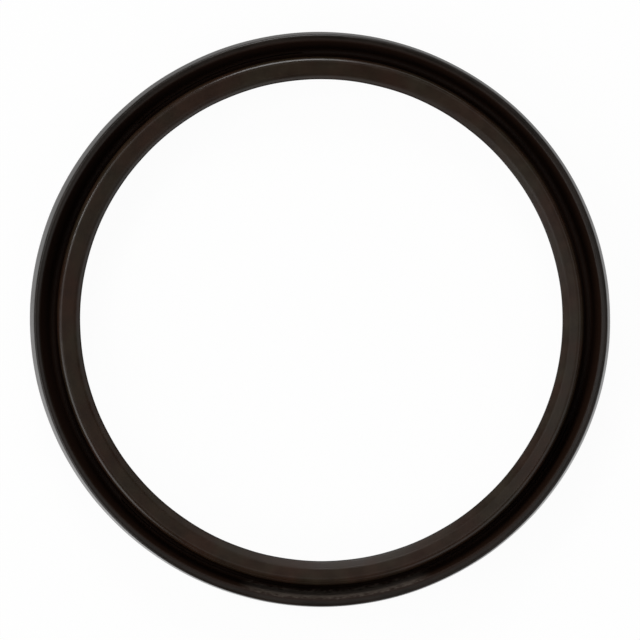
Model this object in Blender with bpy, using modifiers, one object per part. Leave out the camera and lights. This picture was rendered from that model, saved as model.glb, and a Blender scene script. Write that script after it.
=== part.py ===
"""Lip seal ring with a U-shaped section, moulded in one piece from dark brown rubber.

The ring seals a round rod in a bored housing. Its flat heel lies at z = 0 and its two lips point up:
an outer lip whose sloping crown ends in a steep bevel down to the edge that presses on the housing,
and an inner lip with a trimmed land and a bevel that runs down to the sealing edge on the rod.
A deep groove parts the lips.
The origin is the centre of the heel face, and the ring's axis is +Z.
"""

import math

import bpy
from mathutils import Vector

MM = 0.001

# The room that the seal is made for
ROD_DIAMETER = 85.0 * MM
SECTION_WIDTH = 7.5 * MM          # from the rod's surface to the housing's wall
SEAL_HEIGHT = 9.0 * MM            # from the heel face to the crown of the outer lip

# Heel: the solid foot of the section
HEEL_THICKNESS = 3.8 * MM         # from the heel face to the groove's floor
HEEL_BARREL_LENGTH = 3.2 * MM     # straight part of the outside, below the outer lip
HEEL_BORE_LENGTH = 2.8 * MM       # straight part of the bore, below the inner lip
HEEL_ROUNDING = 0.4 * MM
ROD_CLEARANCE = 0.35 * MM         # the heel's bore stands off the rod
HOUSING_CLEARANCE = 0.25 * MM     # the heel's outside stands off the housing

# Outer lip
OUTER_LIP_SQUEEZE = 0.5 * MM      # the free lip's edge stands this far past the housing's wall
OUTER_EDGE_DEPTH = 2.3 * MM       # from the crown down to the edge that presses on the housing
OUTER_EDGE_ROUNDING = 0.3 * MM
OUTER_BEVEL_WIDTH = 0.5 * MM      # from the crown to that edge, seen from above
CROWN_WIDTH = 1.12 * MM
CROWN_SLOPE = math.radians(10.0)  # the crown falls towards the groove
CROWN_ROUNDING = 0.45 * MM        # where the bevel leaves the crown
RIM_ROUNDING = 0.2 * MM           # between the crown and the groove

# Inner lip
INNER_LIP_DROP = 0.4 * MM         # the inner lip ends this far below the crown
INNER_LIP_SQUEEZE = 0.3 * MM      # the free sealing edge stands this far inside the rod's surface
LAND_WIDTH = 2.8 * MM             # trimmed land beside the groove
LAND_SLOPE = math.radians(14.0)   # the land falls towards the rod
LAND_ROUNDING = 0.9 * MM          # at the groove
BEVEL_WIDTH = 1.0 * MM            # from the land to the sealing edge, seen from above
BEVEL_SLOPE = math.radians(45.0)
BEVEL_ROUNDING = 0.6 * MM         # where the bevel leaves the land
SEALING_EDGE_ROUNDING = 0.1 * MM
LIP_ROOT_ROUNDING = 6.0 * MM      # where a lip leaves the straight part of the heel

# Groove between the lips: its mouth is what the two lips leave free
GROOVE_FLOOR_WIDTH = 1.27 * MM
GROOVE_FLOOR_ROUNDING = 0.6 * MM
GROOVE_INNER_WALL_RUN = 0.4 * MM  # the inner lip is this much thicker at its root

# Limits that keep neighbouring forms apart
FLOOR_SHARE_OF_MOUTH = 0.6        # a narrow groove gets a narrower floor
ROUNDING_SHARE_OF_WALL = 0.48     # a rounding takes less than half of each wall beside it

RING_STEPS = 120

RUBBER_COLOUR = (0.014, 0.009, 0.007, 1.0)
RUBBER_ROUGHNESS = 0.45


def remove_old_objects():
    """Clear the scene so that the script can run again in the same file."""
    for old in list(bpy.data.objects):
        bpy.data.objects.remove(old, do_unlink=True)


def make_rubber():
    """Dark brown moulded rubber with a soft sheen."""
    rubber = bpy.data.materials.new("dark_brown_rubber")
    rubber.use_nodes = True
    shader = rubber.node_tree.nodes["Principled BSDF"]
    shader.inputs["Base Color"].default_value = RUBBER_COLOUR
    shader.inputs["Roughness"].default_value = RUBBER_ROUGHNESS
    shader.inputs["Metallic"].default_value = 0.0
    return rubber


def corner_arc(before, corner, after, rounding, segments):
    """Points of the arc that rounds one corner, from the wall before it to the wall after it."""
    to_before = before - corner
    to_after = after - corner
    half_angle = to_before.angle(to_after) / 2.0
    shorter_wall = min(to_before.length, to_after.length)
    setback = min(rounding / math.tan(half_angle), ROUNDING_SHARE_OF_WALL * shorter_wall)
    radius = setback * math.tan(half_angle)
    bisector = (to_before.normalized() + to_after.normalized()).normalized()
    centre = corner + bisector * (radius / math.sin(half_angle))
    first_spoke = corner + to_before.normalized() * setback - centre
    last_spoke = corner + to_after.normalized() * setback - centre
    sweep = math.pi - 2.0 * half_angle
    points = []
    for step in range(segments + 1):
        turned = sweep * step / segments
        spoke = first_spoke * math.sin(sweep - turned) + last_spoke * math.sin(turned)
        points.append(centre + spoke / math.sin(sweep))
    return points


def rounded_outline(corners):
    """Closed outline through (radius, height, rounding, segments) corners, each one rounded."""
    places = [Vector((radius, height)) for radius, height, _, _ in corners]
    outline = []
    for index, (_, _, rounding, segments) in enumerate(corners):
        before = places[index - 1]
        after = places[(index + 1) % len(places)]
        outline.extend(corner_arc(before, places[index], after, rounding, segments))
    return outline


def peak_above_rounding(rounding, rise, fall):
    """How far two slopes meet above the top of the rounding between them."""
    return rounding * (math.cos((fall - rise) / 2.0) / math.cos((fall + rise) / 2.0) - 1.0)


def section_corners():
    """Corners of the section: down the outside, in along the heel, up the bore, over the lips."""
    rod_radius = ROD_DIAMETER / 2.0
    housing_radius = rod_radius + SECTION_WIDTH
    heel_inside = rod_radius + ROD_CLEARANCE
    heel_outside = housing_radius - HOUSING_CLEARANCE

    outer_edge = housing_radius + OUTER_LIP_SQUEEZE
    outer_edge_height = SEAL_HEIGHT - OUTER_EDGE_DEPTH
    outer_bevel_slope = math.atan2(OUTER_EDGE_DEPTH, OUTER_BEVEL_WIDTH)
    crown_outside = outer_edge - OUTER_BEVEL_WIDTH
    crown_top = SEAL_HEIGHT + peak_above_rounding(CROWN_ROUNDING, CROWN_SLOPE, outer_bevel_slope)
    groove_outside = crown_outside - CROWN_WIDTH
    crown_foot = crown_top - CROWN_WIDTH * math.tan(CROWN_SLOPE)

    inner_lip_height = SEAL_HEIGHT - INNER_LIP_DROP
    inner_wall_slope = math.atan2(inner_lip_height - HEEL_THICKNESS, GROOVE_INNER_WALL_RUN)
    sealing_edge = rod_radius - INNER_LIP_SQUEEZE
    land_inside = sealing_edge + BEVEL_WIDTH
    groove_inside = land_inside + LAND_WIDTH
    land_top = inner_lip_height + peak_above_rounding(LAND_ROUNDING, LAND_SLOPE, inner_wall_slope)
    land_foot = land_top - LAND_WIDTH * math.tan(LAND_SLOPE)
    sealing_height = land_foot - BEVEL_WIDTH * math.tan(BEVEL_SLOPE)

    mouth_width = groove_outside - groove_inside
    floor_width = min(GROOVE_FLOOR_WIDTH, FLOOR_SHARE_OF_MOUTH * mouth_width)
    floor_inside = groove_inside + GROOVE_INNER_WALL_RUN
    floor_outside = floor_inside + floor_width

    return [
        (crown_outside, crown_top, CROWN_ROUNDING, 4),
        (outer_edge, outer_edge_height, OUTER_EDGE_ROUNDING, 1),
        (heel_outside, HEEL_BARREL_LENGTH, LIP_ROOT_ROUNDING, 1),
        (heel_outside, 0.0, HEEL_ROUNDING, 2),
        (heel_inside, 0.0, HEEL_ROUNDING, 2),
        (heel_inside, HEEL_BORE_LENGTH, LIP_ROOT_ROUNDING, 1),
        (sealing_edge, sealing_height, SEALING_EDGE_ROUNDING, 1),
        (land_inside, land_foot, BEVEL_ROUNDING, 2),
        (groove_inside, land_top, LAND_ROUNDING, 4),
        (floor_inside, HEEL_THICKNESS, GROOVE_FLOOR_ROUNDING, 3),
        (floor_outside, HEEL_THICKNESS, GROOVE_FLOOR_ROUNDING, 3),
        (groove_outside, crown_foot, RIM_ROUNDING, 3),
    ]


def make_section_mesh():
    """The section as a closed loop of edges in the XZ plane, out at its own radius."""
    outline = rounded_outline(section_corners())
    places = [(point.x, 0.0, point.y) for point in outline]
    edges = [(index, (index + 1) % len(places)) for index in range(len(places))]
    mesh = bpy.data.meshes.new("lip_seal_section")
    mesh.from_pydata(places, edges, [])
    mesh.validate()
    return mesh


def make_seal_ring(collection):
    """Turn the section once around the axis into the whole moulded ring."""
    ring = bpy.data.objects.new("lip_seal_ring", make_section_mesh())
    collection.objects.link(ring)
    ring.data.materials.append(make_rubber())

    turn = ring.modifiers.new("Turn the section", "SCREW")
    turn.axis = "Z"
    turn.angle = 2.0 * math.pi
    turn.screw_offset = 0.0
    turn.steps = RING_STEPS
    turn.render_steps = RING_STEPS
    turn.use_smooth_shade = True

    ring.modifiers.new("Keep flat faces flat", "WEIGHTED_NORMAL")
    return ring


def main():
    remove_old_objects()
    collection = bpy.data.collections.new("Lip seal ring")
    bpy.context.scene.collection.children.link(collection)
    make_seal_ring(collection)


main()
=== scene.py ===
"""Looks of a dark brown rubber lip seal ring that lies open side up on a white table.

The ring is one moulding of fluoroelastomer. Its outer lip, groove, heel and walls keep the skin of
the mould, and the land and bevel of its inner lip were trimmed afterwards to a matt brown face.
It is seen from straight above under soft studio light.
"""

import math

import bpy
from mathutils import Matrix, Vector, noise


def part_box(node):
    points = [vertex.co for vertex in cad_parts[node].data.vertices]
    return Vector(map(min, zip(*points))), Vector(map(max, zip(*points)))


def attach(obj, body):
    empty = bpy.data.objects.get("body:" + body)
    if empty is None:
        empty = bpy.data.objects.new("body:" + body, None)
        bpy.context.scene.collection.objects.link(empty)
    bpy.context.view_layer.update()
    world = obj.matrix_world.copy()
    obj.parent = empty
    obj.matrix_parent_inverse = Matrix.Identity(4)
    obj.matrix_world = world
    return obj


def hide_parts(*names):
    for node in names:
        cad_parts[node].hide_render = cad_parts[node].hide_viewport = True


MM = 0.001

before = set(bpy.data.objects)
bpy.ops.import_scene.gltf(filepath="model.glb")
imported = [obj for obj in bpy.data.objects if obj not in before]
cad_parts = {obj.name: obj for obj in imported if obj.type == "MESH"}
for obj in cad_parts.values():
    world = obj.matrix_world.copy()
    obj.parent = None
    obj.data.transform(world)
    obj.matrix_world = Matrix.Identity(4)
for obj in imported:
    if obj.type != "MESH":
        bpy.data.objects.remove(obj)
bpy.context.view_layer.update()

RING_NODE = "lip_seal_ring"
ring_low, ring_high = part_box(RING_NODE)
OUTER_REACH = ring_high.x
SEAL_HEIGHT = ring_high.z

# Radial places on the section, counted inwards from the edge that presses on the housing
OUTER_EDGE = OUTER_REACH + 0.11 * MM
CROWN_OUTSIDE = OUTER_EDGE - 0.60 * MM
CROWN_INSIDE = CROWN_OUTSIDE - 1.14 * MM
GROOVE_FLOOR_OUTSIDE = CROWN_INSIDE - 1.2 * MM
GROOVE_FLOOR_INSIDE = GROOVE_FLOOR_OUTSIDE - 1.2 * MM
LAND_OUTSIDE = GROOVE_FLOOR_INSIDE - 0.41 * MM
LAND_INSIDE = LAND_OUTSIDE - 2.84 * MM
LEDGE_OUTSIDE = LAND_INSIDE - 0.91 * MM
SEALING_EDGE = LEDGE_OUTSIDE - 0.12 * MM
HEEL_OUTSIDE = OUTER_EDGE - 0.85 * MM
HEEL_INSIDE = SEALING_EDGE + 0.65 * MM

# Heights on the section, counted up from the heel or down from the crown
HEEL_BARREL_TOP = 3.2 * MM
HEEL_BORE_TOP = 2.8 * MM
GROOVE_FLOOR = 3.8 * MM
CROWN_PEAK = SEAL_HEIGHT + 0.07 * MM      # the rounding takes it down to the seal's height
CROWN_FOOT = CROWN_PEAK - 0.20 * MM
OUTER_EDGE_HEIGHT = SEAL_HEIGHT - 2.3 * MM
LAND_TOP = SEAL_HEIGHT - 0.17 * MM
LAND_FOOT = LAND_TOP - 0.71 * MM
LEDGE_HEIGHT = LAND_FOOT - 0.91 * MM
SEALING_HEIGHT = LEDGE_HEIGHT - 0.02 * MM

# A soft ring is never quite round when it lies free, and its lip isn't trimmed quite on centre.
# Each line of the section drifts by its own amounts: a shift towards +X, a shift towards +Y, two of
# ovality, and a slant that lifts the line on one side of the ring and lowers it opposite.
OUTER_EDGE_DRIFT = (-0.19 * MM, 0.03 * MM, 0.23 * MM, -0.05 * MM, 1.2 * MM)
CROWN_OUTSIDE_DRIFT = (-0.02 * MM, -0.11 * MM, 0.05 * MM, -0.02 * MM, 0.0)
CROWN_INSIDE_DRIFT = (-0.10 * MM, 0.05 * MM, 0.20 * MM, 0.04 * MM, 0.0)
LAND_OUTSIDE_DRIFT = (-0.11 * MM, -0.21 * MM, -0.08 * MM, -0.12 * MM, 0.0)
LAND_INSIDE_DRIFT = (0.22 * MM, -0.31 * MM, 0.0, 0.0, 0.0)
SEALING_EDGE_DRIFT = (0.06 * MM, -0.03 * MM, 0.03 * MM, -0.03 * MM, 0.0)
NO_DRIFT = (0.0, 0.0, 0.0, 0.0, 0.0)
HIGHEST_SIDE = math.radians(72.0)  # from +X, where the slant lifts most

LIP_WAVER = 0.03 * MM             # small unevenness of the free lips
LIP_WAVER_LENGTH = 8.0 * MM       # how long its waves are along the lip
OUTER_LIP_SEED = 1.0
INNER_LIP_SEED = 2.0

RING_SEGMENTS = 760

# Witness of the mould's parting line, trimmed almost flush, around the heel's outside
PARTING_HEIGHT = 1.7 * MM
PARTING_WIDTH = 0.16 * MM
PARTING_PROUD = 0.05 * MM         # where nothing was trimmed
PARTING_LEFT = 0.6                # share of it that the trimming leaves on average
PARTING_UNEVEN = 0.8              # how far that share goes up and down around the ring
PARTING_PATCHES = 9.0             # how closely those ups and downs follow each other
PARTING_SEED = 2.1

# Camera: the photograph's frame, and the ring's outer edge in it
PHOTO_SIDE_PX = 640
RING_CENTRE_PX = (320.47, 319.47)
RING_RADIUS_PX = 289.06
CAMERA_DISTANCE = 0.9
CAMERA_CLIP_START = 0.01
SENSOR_WIDTH = 36.0

TABLE_SIDE = 3.0                  # metres
TABLE_GAP = 0.05 * MM             # the heel's face stays clear of the table top

SKIN = 0
TRIMMED = 1

RUBBER_IOR = 1.4

# Noise values between which a pattern goes from one look to the other
PATCH_LOW = 0.35
PATCH_HIGH = 0.65
SHEEN_LOW = 0.3
SHEEN_HIGH = 0.7


def linear(hex_colour):
    """Turn an sRGB hex value, such as 2B1B12, to the linear colour that the shaders take."""
    channels = []
    for start in (0, 2, 4):
        value = int(hex_colour[start:start + 2], 16) / 255.0
        if value <= 0.04045:
            channels.append(value / 12.92)
        else:
            channels.append(((value + 0.055) / 1.055) ** 2.4)
    return (*channels, 1.0)


def add_node(tree, kind, inputs=None, **settings):
    """Add a node, set its settings, and fill its inputs with values or with other nodes' sockets."""
    node = tree.nodes.new(kind)
    for name, value in settings.items():
        setattr(node, name, value)
    for name, value in (inputs or {}).items():
        if isinstance(value, bpy.types.NodeSocket):
            tree.links.new(value, node.inputs[name])
        else:
            node.inputs[name].default_value = value
    return node


def corner_arc(before, corner, after, rounding, steps):
    """Points of the arc that rounds one corner of the section."""
    to_before = before - corner
    to_after = after - corner
    half_angle = to_before.angle(to_after) / 2.0
    setback = rounding / math.tan(half_angle)
    bisector = (to_before.normalized() + to_after.normalized()).normalized()
    centre = corner + bisector * (rounding / math.sin(half_angle))
    first_spoke = corner + to_before.normalized() * setback - centre
    last_spoke = corner + to_after.normalized() * setback - centre
    sweep = math.pi - 2.0 * half_angle
    points = []
    for step in range(steps + 1):
        turned = sweep * step / steps
        spoke = first_spoke * math.sin(sweep - turned) + last_spoke * math.sin(turned)
        points.append(centre + spoke / math.sin(sweep))
    return points


# Corners of the section: radius, height, rounding, steps of the arc, steps of the wall after it,
# finish of that wall, and the drift of the corner
SECTION = (
    (CROWN_OUTSIDE, CROWN_PEAK, 0.45 * MM, 8, 4, SKIN, CROWN_OUTSIDE_DRIFT),
    (OUTER_EDGE, OUTER_EDGE_HEIGHT, 0.3 * MM, 3, 6, SKIN, OUTER_EDGE_DRIFT),
    (HEEL_OUTSIDE, HEEL_BARREL_TOP, 6.0 * MM, 4, 9, SKIN, NO_DRIFT),
    (HEEL_OUTSIDE, 0.0, 0.4 * MM, 5, 5, SKIN, NO_DRIFT),
    (HEEL_INSIDE, 0.0, 0.4 * MM, 5, 3, SKIN, NO_DRIFT),
    (HEEL_INSIDE, HEEL_BORE_TOP, 6.0 * MM, 4, 5, SKIN, NO_DRIFT),
    (SEALING_EDGE, SEALING_HEIGHT, 0.03 * MM, 2, 1, SKIN, SEALING_EDGE_DRIFT),
    (LEDGE_OUTSIDE, LEDGE_HEIGHT, 0.05 * MM, 1, 3, TRIMMED, SEALING_EDGE_DRIFT),
    (LAND_INSIDE, LAND_FOOT, 1.3 * MM, 6, 6, TRIMMED, LAND_INSIDE_DRIFT),
    (LAND_OUTSIDE, LAND_TOP, 0.9 * MM, 11, 6, SKIN, LAND_OUTSIDE_DRIFT),
    (GROOVE_FLOOR_INSIDE, GROOVE_FLOOR, 0.7 * MM, 6, 1, SKIN, NO_DRIFT),
    (GROOVE_FLOOR_OUTSIDE, GROOVE_FLOOR, 0.7 * MM, 6, 5, SKIN, NO_DRIFT),
    (CROWN_INSIDE, CROWN_FOOT, 0.4 * MM, 7, 4, SKIN, CROWN_INSIDE_DRIFT),
)
BARREL_CORNER = 2                 # the wall after this corner is the heel's outside


def lip_waver(angle, radius):
    """Small unevenness of the free lip at one angle, the same for all lines of one lip."""
    around = OUTER_REACH / LIP_WAVER_LENGTH
    lip = OUTER_LIP_SEED if radius > GROOVE_FLOOR_OUTSIDE else INNER_LIP_SEED
    place = Vector((math.cos(angle) * around, math.sin(angle) * around, lip))
    return LIP_WAVER * noise.noise(place)


def drifted_corner(index, angle):
    """Where a corner of the section lies at one angle around the ring."""
    radius, height, _, _, _, _, drift = SECTION[index]
    along_x, along_y, oval, skewed, slant = drift
    shift = along_x * math.cos(angle) + along_y * math.sin(angle)
    shift += oval * math.cos(2.0 * angle) + skewed * math.sin(2.0 * angle)
    if drift is not NO_DRIFT:
        shift += lip_waver(angle, radius)
    return Vector((radius + shift, height + slant * math.cos(angle - HIGHEST_SIDE)))


def parting_ridge(angle, height):
    """How far the parting line stands proud of the heel's outside at one height."""
    off_line = (height - PARTING_HEIGHT) / (0.5 * PARTING_WIDTH)
    if abs(off_line) >= 1.0:
        return 0.0
    place = Vector((math.cos(angle) * PARTING_PATCHES, math.sin(angle) * PARTING_PATCHES,
                    PARTING_SEED))
    left = PARTING_LEFT + PARTING_UNEVEN * noise.noise(place)
    return PARTING_PROUD * left * (1.0 - off_line * off_line)


def barrel_heights(top, bottom):
    """Heights of the heel's outside from top to bottom, close together at the parting line."""
    half = 0.5 * PARTING_WIDTH
    line = [PARTING_HEIGHT + half * step for step in (1.0, 0.5, 0.0, -0.5, -1.0)]
    return [top - (top - line[0]) / 2.0, *line, line[-1] - (line[-1] - bottom) / 2.0]


def section_at(angle):
    """The section's closed outline at one angle around the ring, with the finish of each wall."""
    corners = [drifted_corner(index, angle) for index in range(len(SECTION))]
    arcs = []
    for index, (_, _, rounding, arc_steps, _, _, _) in enumerate(SECTION):
        after = corners[(index + 1) % len(corners)]
        arcs.append(corner_arc(corners[index - 1], corners[index], after, rounding, arc_steps))
    outline = []
    finishes = []
    for index, (_, _, _, arc_steps, wall_steps, finish, _) in enumerate(SECTION):
        outline.extend(arcs[index])
        finishes.extend([SECTION[index - 1][5]] * arc_steps)
        start = arcs[index][-1]
        end = arcs[(index + 1) % len(arcs)][0]
        if index == BARREL_CORNER:
            heights = barrel_heights(start.y, end.y)
            outline.extend(Vector((start.x + parting_ridge(angle, z), z)) for z in heights)
            finishes.extend([finish] * (len(heights) + 1))
        else:
            outline.extend(start.lerp(end, step / wall_steps) for step in range(1, wall_steps))
            finishes.extend([finish] * wall_steps)
    return outline, finishes


def make_seal_ring():
    """The whole moulded ring, with each line of its section free to drift around it."""
    vertices = []
    for segment in range(RING_SEGMENTS):
        angle = 2.0 * math.pi * segment / RING_SEGMENTS
        outline, finishes = section_at(angle)
        across = (math.cos(angle), math.sin(angle))
        vertices.extend((p.x * across[0], p.x * across[1], p.y) for p in outline)
    count = len(finishes)
    faces = []
    for segment in range(RING_SEGMENTS):
        here = segment * count
        there = (segment + 1) % RING_SEGMENTS * count
        for index in range(count):
            after = (index + 1) % count
            faces.append((here + index, here + after, there + after, there + index))
    mesh = bpy.data.meshes.new("seal_ring")
    mesh.from_pydata(vertices, [], faces)
    mesh.polygons.foreach_set("material_index", finishes * RING_SEGMENTS)
    mesh.shade_smooth()
    mesh.update()
    ring = bpy.data.objects.new("seal_ring", mesh)
    bpy.context.scene.collection.objects.link(ring)
    return ring


def ring_coordinates(tree):
    """Sockets for the place on the ring in millimetres: the whole place, the radius and the height."""
    place = add_node(tree, "ShaderNodeTexCoord").outputs["Object"]
    in_mm = add_node(tree, "ShaderNodeVectorMath", {0: place, "Scale": 1.0 / MM}, operation="SCALE")
    flat = add_node(tree, "ShaderNodeVectorMath", {0: in_mm.outputs[0], 1: (1.0, 1.0, 0.0)},
                    operation="MULTIPLY")
    radius = add_node(tree, "ShaderNodeVectorMath", {0: flat.outputs[0]}, operation="LENGTH")
    split = add_node(tree, "ShaderNodeSeparateXYZ", {0: in_mm.outputs[0]})
    return in_mm.outputs[0], radius.outputs["Value"], split.outputs["Z"]


def add_dust_and_light(tree, place, radius):
    """Socket that says where a pale patch lies, partly dusty skin and partly painted light: a ragged
    stretch of the groove's outer wall at -Y, the side that faces the key softbox.

    The crown beside it keeps only a trace of the patch.
    """
    dust_and_light_middle = math.radians(-87.0)
    dust_and_light_half_length = 19.0      # degrees around the ring
    dust_and_light_inside = GROOVE_FLOOR_OUTSIDE / MM - 0.06     # at the foot of the groove's outer wall
    dust_and_light_outside = CROWN_INSIDE / MM - 0.36            # just short of the crown
    dust_and_light_on_crown = 0.03
    end_fade_outwards = 0.012     # as cosines, past the stretch's ends and back into it
    end_fade_inwards = 0.02
    raggedness = 0.9              # millimetres across
    fraying = 1.6                 # millimetres from an edge's nearest ragged point to its furthest
    fray_start = 0.6              # millimetres; less half the fraying, where an edge starts to fade
    fray_end = 1.1                # and where it has faded

    across = add_node(tree, "ShaderNodeVectorMath", {0: place, 1: (1.0, 1.0, 0.0)},
                      operation="MULTIPLY")
    across = add_node(tree, "ShaderNodeVectorMath", {0: across.outputs[0]}, operation="NORMALIZE")
    towards = (math.cos(dust_and_light_middle), math.sin(dust_and_light_middle), 0.0)
    nearness = add_node(tree, "ShaderNodeVectorMath", {0: across.outputs[0], 1: towards},
                        operation="DOT_PRODUCT")
    end = math.cos(math.radians(dust_and_light_half_length))
    along = add_node(tree, "ShaderNodeMapRange", {"Value": nearness.outputs["Value"],
                                                  "From Min": end - end_fade_outwards,
                                                  "From Max": end + end_fade_inwards},
                     interpolation_type="SMOOTHSTEP")
    ragged = add_node(tree, "ShaderNodeTexNoise", {"Vector": place, "Scale": 1.0 / raggedness,
                                                   "Detail": 4.0, "Roughness": 0.7})
    frayed = add_node(tree, "ShaderNodeMath", {0: ragged.outputs["Fac"], 1: fraying, 2: radius},
                      operation="MULTIPLY_ADD")
    outside = add_node(tree, "ShaderNodeMapRange", {"Value": frayed.outputs[0],
                                                    "From Min": dust_and_light_inside + fray_start,
                                                    "From Max": dust_and_light_inside + fray_end})
    thin = add_node(tree, "ShaderNodeMapRange", {"Value": frayed.outputs[0],
                                                 "From Min": dust_and_light_outside + fray_start,
                                                 "From Max": dust_and_light_outside + fray_end,
                                                 "To Min": 1.0, "To Max": dust_and_light_on_crown})
    covered = add_node(tree, "ShaderNodeMath", {0: along.outputs[0], 1: outside.outputs[0]},
                       operation="MULTIPLY")
    return add_node(tree, "ShaderNodeMath", {0: covered.outputs[0], 1: thin.outputs[0]},
                    operation="MULTIPLY").outputs[0]


def make_moulded_skin():
    """Moulded fluoroelastomer: a dark brown-black skin with the soft sheen of the mould's surface.

    The mould was turned on a lathe, so faint rings run around the skin. A hazy bloom lies on it in
    patches some millimetres wide, which makes the sheen a little uneven. The groove is painted duller
    and browner, as shade in the recess, and at one place a pale patch on its outer wall is partly
    dusty skin and partly painted light, where that wall faces the key softbox.
    """
    material = bpy.data.materials.new("moulded_fluoroelastomer")
    material.use_nodes = True
    tree = material.node_tree
    shader = tree.nodes["Principled BSDF"]
    place, radius, height = ring_coordinates(tree)

    bloom_patch = 6.0             # millimetres across
    grain = 0.35                  # millimetres, drawn coarser than the real 0.1 so that it shows
    lathe_pitch = 0.4             # millimetres between tool marks, drawn coarser than the real 0.1
    dust_and_light_cover = 0.8              # how much of the palest place the dusting and painted light cover
    groove_inside = LAND_OUTSIDE / MM - 0.65    # the two sides of the dull groove
    groove_outside = CROWN_INSIDE / MM + 0.44
    groove_fade = 0.4             # millimetres
    groove_bottom = GROOVE_FLOOR / MM - 0.1     # millimetres above the heel's face
    groove_roughness = 0.6
    # The groove's lower specular level is painted shade in the recess.
    skin_shine = 0.44             # specular level of the skin, and of the groove
    groove_shade_shine = 0.2
    sheen_dull = 0.35             # roughness of the skin where the bloom is thick, and where thin
    sheen_clean = 0.27
    relief_strength = 0.25
    relief_depth = 0.02 * MM

    bloom = add_node(tree, "ShaderNodeTexNoise", {"Vector": place, "Scale": 1.0 / bloom_patch,
                                                  "Detail": 4.0, "Roughness": 0.6})
    blotches = add_node(tree, "ShaderNodeMapRange", {"Value": bloom.outputs["Fac"],
                                                     "From Min": PATCH_LOW, "From Max": PATCH_HIGH})
    rubber = add_node(tree, "ShaderNodeMix", {"Factor": blotches.outputs[0],
                                              6: linear("0F0904"), 7: linear("1A110A")},
                      data_type="RGBA")
    # The groove mask paints shade into the recess: a browner colour and less shine there.
    inside = add_node(tree, "ShaderNodeMapRange", {"Value": radius, "From Min": groove_outside,
                                                   "From Max": groove_outside - groove_fade})
    beside = add_node(tree, "ShaderNodeMapRange", {"Value": radius, "From Min": groove_inside,
                                                   "From Max": groove_inside + groove_fade})
    open_side = add_node(tree, "ShaderNodeMath", {0: height, 1: groove_bottom},
                         operation="GREATER_THAN")
    groove = add_node(tree, "ShaderNodeMath", {0: inside.outputs[0], 1: beside.outputs[0]},
                      operation="MULTIPLY")
    groove = add_node(tree, "ShaderNodeMath", {0: groove.outputs[0], 1: open_side.outputs[0]},
                      operation="MULTIPLY")
    rubber = add_node(tree, "ShaderNodeMix", {"Factor": groove.outputs[0], 6: rubber.outputs[2],
                                              7: linear("1B0D05")}, data_type="RGBA")
    shine = add_node(tree, "ShaderNodeMapRange", {"Value": groove.outputs[0],
                                                  "To Min": skin_shine, "To Max": groove_shade_shine})
    # The pale patch mixed in here is partly dusty skin and partly painted light, on the wall that
    # faces the key softbox.
    dust_and_light = add_node(tree, "ShaderNodeMath", {0: add_dust_and_light(tree, place, radius), 1: dust_and_light_cover},
                    operation="MULTIPLY")
    colour = add_node(tree, "ShaderNodeMix", {"Factor": dust_and_light.outputs[0], 6: rubber.outputs[2],
                                              7: linear("5A524B")}, data_type="RGBA")
    gloss = add_node(tree, "ShaderNodeMapRange", {"Value": bloom.outputs["Fac"],
                                                  "From Min": SHEEN_LOW, "From Max": SHEEN_HIGH,
                                                  "To Min": sheen_clean, "To Max": sheen_dull})
    gloss = add_node(tree, "ShaderNodeMix", {"Factor": groove.outputs[0], "A": gloss.outputs[0],
                                             "B": groove_roughness})
    grains = add_node(tree, "ShaderNodeTexNoise", {"Vector": place, "Scale": 1.0 / grain,
                                                   "Detail": 3.0, "Roughness": 0.6})
    turned = add_node(tree, "ShaderNodeCombineXYZ", {"X": radius, "Y": height})
    rings = add_node(tree, "ShaderNodeTexNoise", {"Vector": turned.outputs[0],
                                                  "Scale": 1.0 / lathe_pitch, "Detail": 2.0})
    relief = add_node(tree, "ShaderNodeMath", {0: grains.outputs["Fac"], 1: rings.outputs["Fac"]},
                      operation="ADD")
    bump = add_node(tree, "ShaderNodeBump", {"Height": relief.outputs[0],
                                             "Strength": relief_strength,
                                             "Distance": relief_depth})
    tree.links.new(colour.outputs[2], shader.inputs["Base Color"])
    tree.links.new(gloss.outputs[0], shader.inputs["Roughness"])
    tree.links.new(bump.outputs[0], shader.inputs["Normal"])
    tree.links.new(shine.outputs[0], shader.inputs["Specular IOR Level"])
    shader.inputs["IOR"].default_value = RUBBER_IOR
    return material


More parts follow.
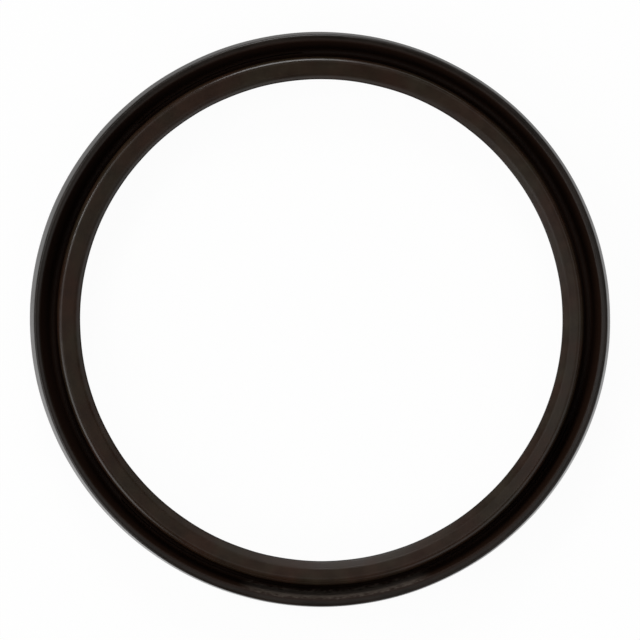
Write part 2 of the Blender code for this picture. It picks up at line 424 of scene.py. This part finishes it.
def make_trimmed_face():
    """Trimmed fluoroelastomer: a matt brown face that was ground after moulding.

    The cut opens the rubber's filler, so the face is browner and duller than the skin, with fine
    rings left by the trimming. Its rounded edge at the groove is rubbed smooth again.
    """
    material = bpy.data.materials.new("trimmed_fluoroelastomer")
    material.use_nodes = True
    tree = material.node_tree
    shader = tree.nodes["Principled BSDF"]
    place, radius, height = ring_coordinates(tree)

    mottle = 3.0                  # millimetres across
    tint_patch = 7.0              # millimetres across, from reddish to olive
    trim_pitch = 0.3              # millimetres between marks, drawn coarser than the real 0.05
    smooth_edge_start = LAND_OUTSIDE / MM - 1.15        # outwards from here
    smooth_edge_end = LAND_OUTSIDE / MM - 0.65
    smooth_roughness = 0.24
    smooth_bevel_start = LAND_INSIDE / MM + 0.19        # inwards from here
    smooth_bevel_end = LAND_INSIDE / MM - 0.21
    bevel_smoothness = 0.3        # of the smooth edge's
    cut_shine = 0.22              # specular level of the cut face, and of the smooth edge
    smooth_shine = 0.45
    cut_roughness_low = 0.35
    cut_roughness_high = 0.45
    marks_strength = 0.3
    marks_depth = 0.02 * MM

    patches = add_node(tree, "ShaderNodeTexNoise", {"Vector": place, "Scale": 1.0 / mottle,
                                                    "Detail": 4.0, "Roughness": 0.6})
    tints = add_node(tree, "ShaderNodeTexNoise", {"Vector": place, "Scale": 1.0 / tint_patch,
                                                  "Detail": 2.0})
    tinted = add_node(tree, "ShaderNodeMapRange", {"Value": tints.outputs["Fac"],
                                                   "From Min": PATCH_LOW, "From Max": PATCH_HIGH})
    mottled = add_node(tree, "ShaderNodeMapRange", {"Value": patches.outputs["Fac"],
                                                    "From Min": PATCH_LOW, "From Max": PATCH_HIGH})
    darker = add_node(tree, "ShaderNodeMix", {"Factor": tinted.outputs[0], 6: linear("23150D"),
                                              7: linear("20180F")}, data_type="RGBA")
    paler = add_node(tree, "ShaderNodeMix", {"Factor": tinted.outputs[0], 6: linear("2B1B12"),
                                             7: linear("282016")}, data_type="RGBA")
    colour = add_node(tree, "ShaderNodeMix", {"Factor": mottled.outputs[0], 6: darker.outputs[2],
                                              7: paler.outputs[2]}, data_type="RGBA")
    dull = add_node(tree, "ShaderNodeMapRange", {"Value": patches.outputs["Fac"],
                                                 "From Min": SHEEN_LOW, "From Max": SHEEN_HIGH,
                                                 "To Min": cut_roughness_low,
                                                 "To Max": cut_roughness_high})
    smooth = add_node(tree, "ShaderNodeMapRange", {"Value": radius, "From Min": smooth_edge_start,
                                                   "From Max": smooth_edge_end},
                      interpolation_type="SMOOTHSTEP")
    gloss = add_node(tree, "ShaderNodeMix", {"Factor": smooth.outputs[0], "A": dull.outputs[0],
                                             "B": smooth_roughness})
    bevelled = add_node(tree, "ShaderNodeMapRange", {"Value": radius,
                                                     "From Min": smooth_bevel_start,
                                                     "From Max": smooth_bevel_end,
                                                     "To Max": bevel_smoothness})
    dense = add_node(tree, "ShaderNodeMath", {0: smooth.outputs[0], 1: bevelled.outputs[0]},
                     operation="MAXIMUM")
    shine = add_node(tree, "ShaderNodeMapRange", {"Value": dense.outputs[0], "To Min": cut_shine,
                                                  "To Max": smooth_shine})
    turned = add_node(tree, "ShaderNodeCombineXYZ", {"X": radius, "Y": height})
    rings = add_node(tree, "ShaderNodeTexNoise", {"Vector": turned.outputs[0],
                                                  "Scale": 1.0 / trim_pitch, "Detail": 3.0})
    bump = add_node(tree, "ShaderNodeBump", {"Height": rings.outputs["Fac"],
                                             "Strength": marks_strength,
                                             "Distance": marks_depth})
    tree.links.new(colour.outputs[2], shader.inputs["Base Color"])
    tree.links.new(gloss.outputs[0], shader.inputs["Roughness"])
    tree.links.new(bump.outputs[0], shader.inputs["Normal"])
    tree.links.new(shine.outputs[0], shader.inputs["Specular IOR Level"])
    shader.inputs["IOR"].default_value = RUBBER_IOR
    return material


def make_table():
    """A plain white table top, lit past the camera's white, with the ring's soft shadow on it.

    Seen from underneath it is clear, so that it doesn't hide the heel.
    """
    material = bpy.data.materials.new("white_table_top")
    material.use_nodes = True
    tree = material.node_tree
    tree.nodes.clear()

    reflected_glow = 1.3          # as the ring's sheen sees the table
    seen_glow = 1.0               # as the camera sees it, which is white
    glow_share = 0.96             # the rest shows the ring's soft shadow

    rays = add_node(tree, "ShaderNodeLightPath")
    seen = add_node(tree, "ShaderNodeMath", {0: rays.outputs["Is Camera Ray"],
                                             1: rays.outputs["Is Glossy Ray"]}, operation="MAXIMUM")
    seen = add_node(tree, "ShaderNodeMath", {0: seen.outputs[0],
                                             1: rays.outputs["Is Transmission Ray"]},
                    operation="MAXIMUM")
    paper = add_node(tree, "ShaderNodeBsdfDiffuse", {"Color": linear("F2F2F0")})
    burnt_out = add_node(tree, "ShaderNodeMapRange", {"Value": rays.outputs["Is Camera Ray"],
                                                      "To Min": reflected_glow,
                                                      "To Max": seen_glow})
    glow = add_node(tree, "ShaderNodeEmission", {"Color": linear("FFFFFF"),
                                                 "Strength": burnt_out.outputs[0]})
    bright = add_node(tree, "ShaderNodeMixShader", {0: glow_share, 1: paper.outputs[0],
                                                    2: glow.outputs[0]})
    surface = add_node(tree, "ShaderNodeMixShader", {0: seen.outputs[0], 1: paper.outputs[0],
                                                     2: bright.outputs[0]})
    facing = add_node(tree, "ShaderNodeNewGeometry")
    underneath = add_node(tree, "ShaderNodeMath", {0: facing.outputs["Backfacing"],
                                                   1: rays.outputs["Is Camera Ray"]},
                          operation="MULTIPLY")
    clear = add_node(tree, "ShaderNodeBsdfTransparent")
    surface = add_node(tree, "ShaderNodeMixShader", {0: underneath.outputs[0],
                                                     1: surface.outputs[0], 2: clear.outputs[0]})
    add_node(tree, "ShaderNodeOutputMaterial", {"Surface": surface.outputs[0]})

    mesh = bpy.data.meshes.new("table")
    half = TABLE_SIDE / 2.0
    mesh.from_pydata([(-half, -half, 0.0), (half, -half, 0.0), (half, half, 0.0), (-half, half, 0.0)],
                     [], [(0, 1, 2, 3)])
    mesh.materials.append(material)
    table = bpy.data.objects.new("table", mesh)
    table.location.z = -TABLE_GAP
    bpy.context.scene.collection.objects.link(table)
    return table


def make_camera():
    """A camera straight above the ring, framed as the photograph is."""
    lens_data = bpy.data.cameras.new("camera")
    lens_data.sensor_width = SENSOR_WIDTH
    px_size = OUTER_REACH / RING_RADIUS_PX
    frame_width = PHOTO_SIDE_PX * px_size
    lens_data.lens = SENSOR_WIDTH * CAMERA_DISTANCE / frame_width
    lens_data.clip_start = CAMERA_CLIP_START
    camera = bpy.data.objects.new("camera", lens_data)
    middle = (PHOTO_SIDE_PX - 1) / 2.0
    camera.location.x = (middle - RING_CENTRE_PX[0]) * px_size
    camera.location.y = (RING_CENTRE_PX[1] - middle) * px_size
    camera.location.z = SEAL_HEIGHT + CAMERA_DISTANCE
    bpy.context.scene.collection.objects.link(camera)
    bpy.context.scene.camera = camera


# Softboxes: name, direction clockwise from the top of the picture, height angle, side, power
SOFTBOXES = (
    ("key_softbox", 352.0, 36.0, 0.45, 6.4),
    ("lower_left_softbox", 243.0, 34.0, 0.8, 6.3),
    ("low_top_softbox", 12.0, 8.0, 0.9, 2.5),
    ("left_softbox", 293.0, 50.0, 0.15, 1.7),
    ("high_left_softbox", 290.0, 68.0, 0.5, 1.2),
    ("high_right_softbox", 62.0, 66.0, 0.7, 1.3),
    ("right_softbox", 135.0, 46.0, 0.9, 2.6),
)
SOFTBOX_DISTANCE = 1.2


def make_softbox(name, direction, height_angle, side, power):
    """A square studio lamp that faces the ring."""
    lamp = bpy.data.lights.new(name, "AREA")
    lamp.shape = "SQUARE"
    lamp.size = side
    lamp.energy = power
    softbox = bpy.data.objects.new(name, lamp)
    turn = math.radians(direction)
    lift = math.radians(height_angle)
    outwards = Vector((math.sin(turn) * math.cos(lift), math.cos(turn) * math.cos(lift),
                       math.sin(lift)))
    softbox.location = outwards * SOFTBOX_DISTANCE
    softbox.rotation_euler = outwards.to_track_quat("Z", "Y").to_euler()
    bpy.context.scene.collection.objects.link(softbox)


def make_studio_air():
    """Dim above the ring and bright at the horizon, as in a studio with pale walls.

    The camera sees it as white, where it looks past the table.
    """
    world = bpy.data.worlds.new("studio")
    bpy.context.scene.world = world
    world.use_nodes = True
    tree = world.node_tree
    background = tree.nodes["Background"]

    horizon_strength = 0.6
    sky_strength = 0.03
    horizon_top = 0.15            # sine of the height angle where the bright horizon ends
    sky_bottom = 0.35

    direction = add_node(tree, "ShaderNodeTexCoord").outputs["Generated"]
    split = add_node(tree, "ShaderNodeSeparateXYZ", {0: direction})
    rise = add_node(tree, "ShaderNodeMapRange", {"Value": split.outputs["Z"],
                                                 "From Min": horizon_top, "From Max": sky_bottom,
                                                 "To Min": horizon_strength,
                                                 "To Max": sky_strength},
                    interpolation_type="SMOOTHSTEP")
    rays = add_node(tree, "ShaderNodeLightPath")
    seen = add_node(tree, "ShaderNodeMath", {0: rise.outputs[0], 1: rays.outputs["Is Camera Ray"]},
                    operation="MAXIMUM")
    background.inputs["Color"].default_value = linear("FFFFFF")
    tree.links.new(seen.outputs[0], background.inputs["Strength"])


seal_ring = make_seal_ring()
seal_ring.data.materials.append(make_moulded_skin())
seal_ring.data.materials.append(make_trimmed_face())
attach(seal_ring, "root")
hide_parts(RING_NODE)

make_table()
make_camera()
for softbox_facts in SOFTBOXES:
    make_softbox(*softbox_facts)
make_studio_air()

bpy.context.scene.view_settings.view_transform = "Standard"
